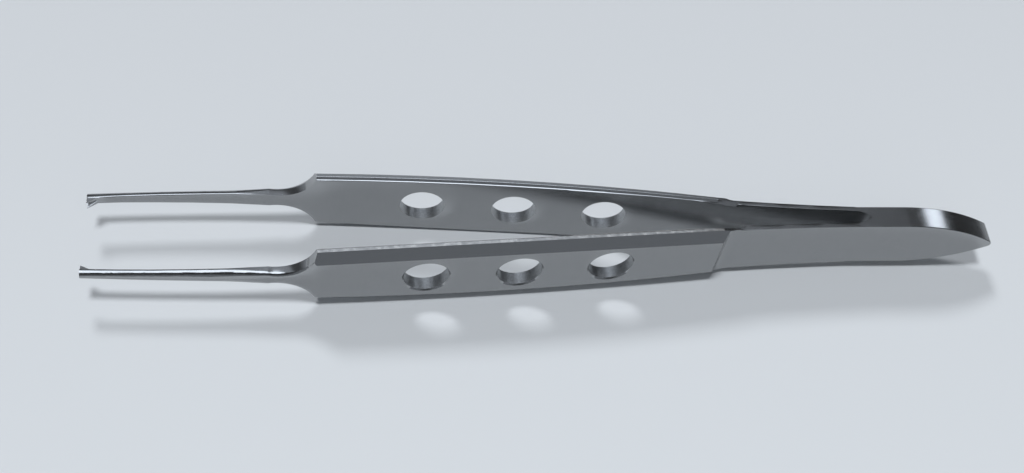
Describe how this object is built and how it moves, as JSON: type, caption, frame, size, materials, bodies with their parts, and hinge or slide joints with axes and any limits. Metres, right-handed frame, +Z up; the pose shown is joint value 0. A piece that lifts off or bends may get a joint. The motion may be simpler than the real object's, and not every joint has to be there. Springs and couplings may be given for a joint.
{
  "type": "tissue forceps",
  "caption": "Slender spring forceps with perforated, bevelled grips, thin straight shafts and small meshing teeth at the tips, the blades welded together at a pointed tail.",
  "frame": {"origin": "centre of the bounding box in X and Y, at the height of the grips' lowest edges, on which the forceps lie", "axes": "+X from the tips towards the tail, Y across the opening of the blades (the single-tooth blade is on -Y), +Z up, along the width of the blades"},
  "size_m": [0.108, 0.0128, 0.0098],
  "materials": {
    "blade_steel": "satin stainless steel, lightly scuffed along the bevelled edges of the grips",
    "tail_steel": "satin stainless steel, ground flush over the weld"
  },
  "bodies": {
    "tail": {"welded_tail": "tail_steel"},
    "near_blade": {"single_tooth_arm": "blade_steel"},
    "far_blade": {"double_tooth_arm": "blade_steel"}
  },
  "joints": [
    {"name": "near_squeeze", "type": "hinge", "parent": "tail", "child": "near_blade", "pos_m": [0.0292, -0.00142, 0.00487], "axis": [0, 0, -1], "range_deg": [0, 3], "stiffness_Nm_per_rad": 1.86},
    {"name": "far_squeeze", "type": "hinge", "parent": "tail", "child": "far_blade", "pos_m": [0.0292, 0.00142, 0.00487], "axis": [0, 0, 1], "range_deg": [0, 3], "stiffness_Nm_per_rad": 1.86}
  ]
}
